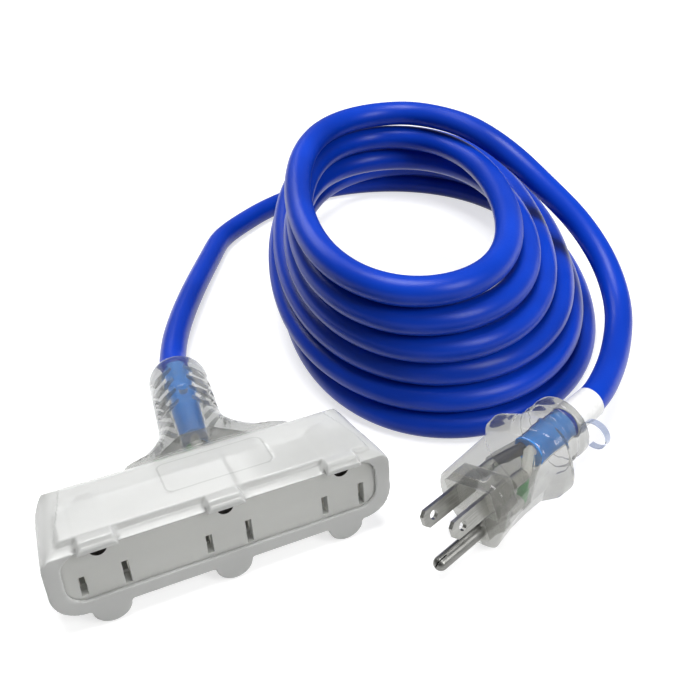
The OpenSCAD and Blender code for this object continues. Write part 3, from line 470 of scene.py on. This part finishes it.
def tap_look():
    """The tap's one moulding: milky over the outlets, clear from the flare on, with the painted shade of a
    groove on its top.
    """
    look, where, _, tint = moulded_pvc("tap_clear", TAP, (0.55, 0.555, 0.545), ior=1.035, coat=0.6, soft=1.0)
    x, y, z = look.axes(where)
    look.drive("Transmission Weight", look.turn(y, CLEARING, TAP_CLEAR))
    look.drive("Roughness", look.turn(y, CLEARING, TAP_ROUGH))
    # painted shade: the groove on the top is drawn as a darker line along the outline of a rounded rectangle
    corner = look.reach(look.beyond(x, GROOVE_MID[0], GROOVE_HALF[0]),
                        look.beyond(y, GROOVE_MID[1], GROOVE_HALF[1]))
    off = look.math("ABSOLUTE", look.math("SUBTRACT", corner, GROOVE_R))
    line = look.math("MULTIPLY", look.math("LESS_THAN", off, GROOVE_W),
                     look.math("GREATER_THAN", z, GROOVE_ABOVE))
    groove_shaded = look.mix(look.math("MULTIPLY", line, GROOVE_SHADE), tint, (0.45, 0.47, 0.46), "MULTIPLY")
    flare = look.ramp(look.math("MULTIPLY", y, 1 / RAMP_REACH), [(at / RAMP_REACH, c) for at, c in FLARE_TINT])
    look.drive("Base Color", look.mix(1, groove_shaded, flare, "MULTIPLY"))
    return look


def dress(piece, look):
    """The piece, or the CAD node of that name, gets this look."""
    if isinstance(piece, str):
        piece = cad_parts[piece]
    piece.data.materials.clear()
    piece.data.materials.append(look.mat)


# ---------- mouldings ----------

WELD = 0.00001
TAP_CELL, TAP_ROUNDS, PLUG_CELL, PLUG_ROUNDS = 0.45, 2, 0.4, 3


def moulded(node, name, cell, rounds):
    """The solid with the soft edges that it leaves the mould with."""
    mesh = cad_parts[node].data.copy()
    piece = bpy.data.objects.new(name, mesh)
    scene.collection.objects.link(piece)
    work = bmesh.new()
    work.from_mesh(mesh)
    bmesh.ops.remove_doubles(work, verts=work.verts, dist=WELD)
    work.to_mesh(mesh)
    work.free()
    cells = piece.modifiers.new("cells", "REMESH")
    cells.mode = "VOXEL"
    cells.voxel_size = cell * MM
    soft = piece.modifiers.new("soft", "SMOOTH")
    soft.factor = 0.5
    soft.iterations = rounds
    bpy.context.view_layer.update()
    done = bpy.data.meshes.new_from_object(piece.evaluated_get(bpy.context.evaluated_depsgraph_get()))
    piece.modifiers.clear()
    piece.data = done
    for face in done.polygons:
        face.use_smooth = True
    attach(piece, "root")
    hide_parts(node)
    return piece


BAR_BEHIND = 2
HOOD_SINK, SINK_FROM, SINK_OVER = 0.2, -1, 4
SWELL, SWELL_FROM, SWELL_FALL, SWELL_IN, SWELL_SIDE, SWELL_DEEP = 1.85, 2.0, 16, 4.5, 2.5, 3
HOOD_CORE, HOOD_BACK, HOOD_BLEND, HOOD_FOOT = 4.0, 18.2, 0.6, 0.3
FACES_DOWN, FACES_ASIDE = -0.2, 0.1
EDGE_R, EDGE_GROWS, EDGE_OVER, REAR_R = 5, 4, 30, 13
LIP_DROP, LIP_FROM, LIP_HALF, LIP_DEEP = 1.1, 1.3, 7, 1.5


def pulled_in(out, up, radius):
    """How far a point moves back, each way, to lie on a rounded corner."""
    if out <= 0 or up <= 0 or math.hypot(out, up) <= radius:
        return 0, 0
    past = 1 - radius / math.hypot(out, up)
    return out * past, up * past


def soften_bar(piece):
    """The bar's top swells to meet the hoods behind their lips, and its rear corners are rounder."""
    inverse = TAP.inverted()
    upward = TAP.to_3x3() @ Vector((0, 0, 1))
    normals = [vert.normal.copy() for vert in piece.data.vertices]
    for vert, normal in zip(piece.data.vertices, normals):
        p = (inverse @ vert.co) / MM
        if p.y > BAR_DEPTH + BAR_BEHIND:
            continue
        beside = abs((p.x + OUTLET_PITCH / 2) % OUTLET_PITCH - OUTLET_PITCH / 2)
        fall = ease((BAR_DEPTH - BAR_BEHIND - p.y) / SWELL_FALL)
        on_hood = min(max((p.z - BAR_TOP) / HOOD_RISE, 0), 1)
        # ceilings inside the shell, and what is under a hood, are held
        facing = normal.dot(upward)
        under_hood = p.z > BAR_TOP + HOOD_FOOT and facing < FACES_ASIDE and beside < HOOD_CORE
        held = (1 - ease((beside - HOOD_CORE) / HOOD_BLEND)) * (1 - ease((p.y - HOOD_BACK) / HOOD_BLEND))
        if facing < FACES_DOWN or under_hood:
            held = 1
        if p.z > BAR_TOP:
            p.z = BAR_TOP + (p.z - BAR_TOP) * (1 - HOOD_SINK * ease((p.y - SINK_FROM) / SINK_OVER)) * fall
        swell = ease(p.y - SWELL_FROM) * fall * ease((BAR_HALF - SWELL_IN - abs(p.x)) / SWELL_SIDE)
        p.z += SWELL * swell * (1 - on_hood) * (1 - held) * ease((p.z - BAR_TOP + SWELL_DEEP) / 2)
        # the upper edges at the bar's two ends
        radius = EDGE_R + EDGE_GROWS * ease(p.y / EDGE_OVER)
        side = BAR_HALF - BAR_DRAFT * p.y / BAR_DEPTH - radius
        inward, down = pulled_in(abs(p.x) - side, p.z - (BAR_TOP - radius), radius)
        p.x -= math.copysign(inward, p.x)
        p.z -= down
        if p.z > BAR_TOP - LIP_DEEP and beside < LIP_HALF:
            p.z -= LIP_DROP * ease(-p.y - LIP_FROM)
        # the rear corners, seen from above
        side = BAR_HALF - BAR_DRAFT - REAR_R
        inward, forward = pulled_in(abs(p.x) - side, p.y - (BAR_DEPTH - REAR_R), REAR_R)
        p.x -= math.copysign(inward, p.x)
        p.y -= forward
        vert.co = TAP @ (p * MM)


# ---------- the studio ----------

FLOOR_REACH, FLOOR_GREY, FLOOR_GLOW, WORLD_LIGHT = 3, 0.5, 0.68, 0.18
LAMPS_FACE = (0.08, 0.05, 0)
# each lamp's name, place, size and power
LAMPS = (("key", (0.05, 0.05, 1.1), (0.6, 0.5), 12),
         ("fill", (0.5, -0.75, 0.65), (0.4, 0.5), 6.5),
         ("rim", (-0.1, 0.9, 0.8), (0.8, 0.3), 4))


def make_floor():
    """A pale floor that shows white to the camera and in plastic and metal, and keeps the shadow."""
    mesh = bpy.data.meshes.new("floor")
    corners = [(x * FLOOR_REACH, y * FLOOR_REACH, 0) for x, y in ((-1, -1), (1, -1), (1, 1), (-1, 1))]
    mesh.from_pydata(corners, [], [(0, 1, 2, 3)])
    floor = bpy.data.objects.new("floor", mesh)
    scene.collection.objects.link(floor)
    look = Look("studio_floor")
    look.set(Base_Color=(FLOOR_GREY, FLOOR_GREY, FLOOR_GREY, 1), Roughness=0.9, Specular_IOR_Level=0)
    path = look.add("ShaderNodeLightPath")
    seen = look.math("MAXIMUM", path.outputs["Is Camera Ray"], path.outputs["Is Glossy Ray"])
    seen = look.math("MAXIMUM", seen, path.outputs["Is Transmission Ray"])
    glow = look.add("ShaderNodeEmission")
    look.join(look.math("MULTIPLY", seen, FLOOR_GLOW), glow.inputs["Strength"])
    both = look.add("ShaderNodeAddShader")
    look.join(look.shader.outputs["BSDF"], both.inputs[0])
    look.join(glow.outputs["Emission"], both.inputs[1])
    look.join(both.outputs["Shader"], look.out.inputs["Surface"])
    mesh.materials.append(look.mat)


def make_world():
    """A dim white sky that shows at full white to the camera and through clear plastic."""
    world = bpy.data.worlds.new("studio")
    scene.world = world
    world.use_nodes = True
    tree = world.node_tree
    sky = tree.nodes["Background"]
    path = tree.nodes.new("ShaderNodeLightPath")
    most = tree.nodes.new("ShaderNodeMath")
    most.operation = "MAXIMUM"
    tree.links.new(path.outputs["Is Camera Ray"], most.inputs[0])
    tree.links.new(path.outputs["Is Transmission Ray"], most.inputs[1])
    mix = tree.nodes.new("ShaderNodeMix")
    tree.links.new(most.outputs["Value"], mix.inputs["Factor"])
    mix.inputs["A"].default_value = WORLD_LIGHT
    mix.inputs["B"].default_value = 1.0
    sky.inputs["Color"].default_value = (1, 1, 1, 1)
    tree.links.new(mix.outputs["Result"], sky.inputs["Strength"])


def softbox(name, at, size, power):
    data = bpy.data.lights.new(name, "AREA")
    data.shape = "RECTANGLE"
    data.size, data.size_y = size
    data.energy = power
    lamp = bpy.data.objects.new(name, data)
    way = Vector(LAMPS_FACE) - Vector(at)
    lamp.matrix_world = Matrix.Translation(at) @ way.to_track_quat("-Z", "Y").to_matrix().to_4x4()
    scene.collection.objects.link(lamp)


make_floor()
make_world()
for lamp_values in LAMPS:
    softbox(*lamp_values)

# ---------- the object ----------

route = settled(even(through(cord_route(), CURVE_STEP), RING_STEP), SETTLE_ROUNDS)
cord = swept("cord", route, CORD_D / 2, CORD_SIDES)
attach(cord, "root")
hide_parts("tap_lead", "coil", "plug_lead")
dress(cord, jacket_look("blue_jacket", (0.001, 0.030, 0.34), (0.002, 0.044, 0.47)))

tap_moulding = moulded("tap_shell", "tap_moulding", TAP_CELL, TAP_ROUNDS)
soften_bar(tap_moulding)
dress(tap_moulding, tap_look())
dress("outlet_face", outlet_look("face_clear", 0.45, (0.74, 0.745, 0.72)))
dress("contact_carrier", outlet_look("carrier_milky", 0.35, (0.88, 0.89, 0.87)))

plug_moulding = moulded("plug_shell", "plug_moulding", PLUG_CELL, PLUG_ROUNDS)
dress(plug_moulding, clear_look("plug_clear", clear=0.93, colour=(0.54, 0.54, 0.52), rough=0.12,
                                frost=0.06, ior=1.04, coat=0.6))
dress("plug_core", clear_look("bridge_clear", clear=0.88, colour=(0.95, 0.95, 0.93), rough=0.12,
                              frost=0.06, ior=1.025, coat=0.1))
dress("label_film", clear_look("film", clear=0.9, colour=(0.50, 0.55, 0.68), rough=0.05,
                               frost=0.02, ior=1.1))
dress("cord_label", fine_look("label_paper", (0.70, 0.70, 0.69), (0.80, 0.80, 0.79)))

pale = metal_look("contact_metal", (0.78, 0.76, 0.70), (0.90, 0.88, 0.83), TAP, ACROSS_TAP, rough=0.45)
# painted shade: the ground strips are coloured near black so that the ground holes show dark
dark = metal_look("socket_painted_shade", (0.012, 0.010, 0.008), (0.03, 0.025, 0.02), TAP, ACROSS_TAP, rough=0.5)
steel = metal_look("plated_blade", (0.20, 0.20, 0.19), (0.42, 0.42, 0.40), PLUG, ALONG_PLUG, rough=0.3)
crimp = metal_look("plated_crimp", (0.5, 0.5, 0.48), (0.75, 0.75, 0.72), None, EVERY_WAY)
dress("line_bus", pale)
dress("neutral_bus", pale)
dress("ground_bus", dark)
dress("line_blade", steel)
dress("neutral_blade", steel)
dress("ground_pin", pin_look())

# painted light: the jacket inside the clear shells is coloured far paler than the cord's own blue, for the
# light that the shells' haze scatters onto it
haze_lit_blue = jacket_look("inner_jacket_painted_light", (0.006, 0.25, 0.92), (0.010, 0.31, 1.0))
WIRES = (("line", "black", fine_look("black_wire", (0.008, 0.008, 0.009), (0.02, 0.02, 0.022))),
         ("neutral", "white", fine_look("white_wire", (0.84, 0.84, 0.82), (0.92, 0.92, 0.90))),
         ("ground", "green", fine_look("green_wire", (0.04, 0.34, 0.07), (0.07, 0.44, 0.11))))
for end in ("tap", "plug"):
    for wire, colour, insulation in WIRES:
        dress(f"{end}_{wire}_wire", insulation)
        dress(f"{end}_{wire}_crimp", crimp)
    dress(end + "_jacket", haze_lit_blue)

bpy.context.view_layer.update()
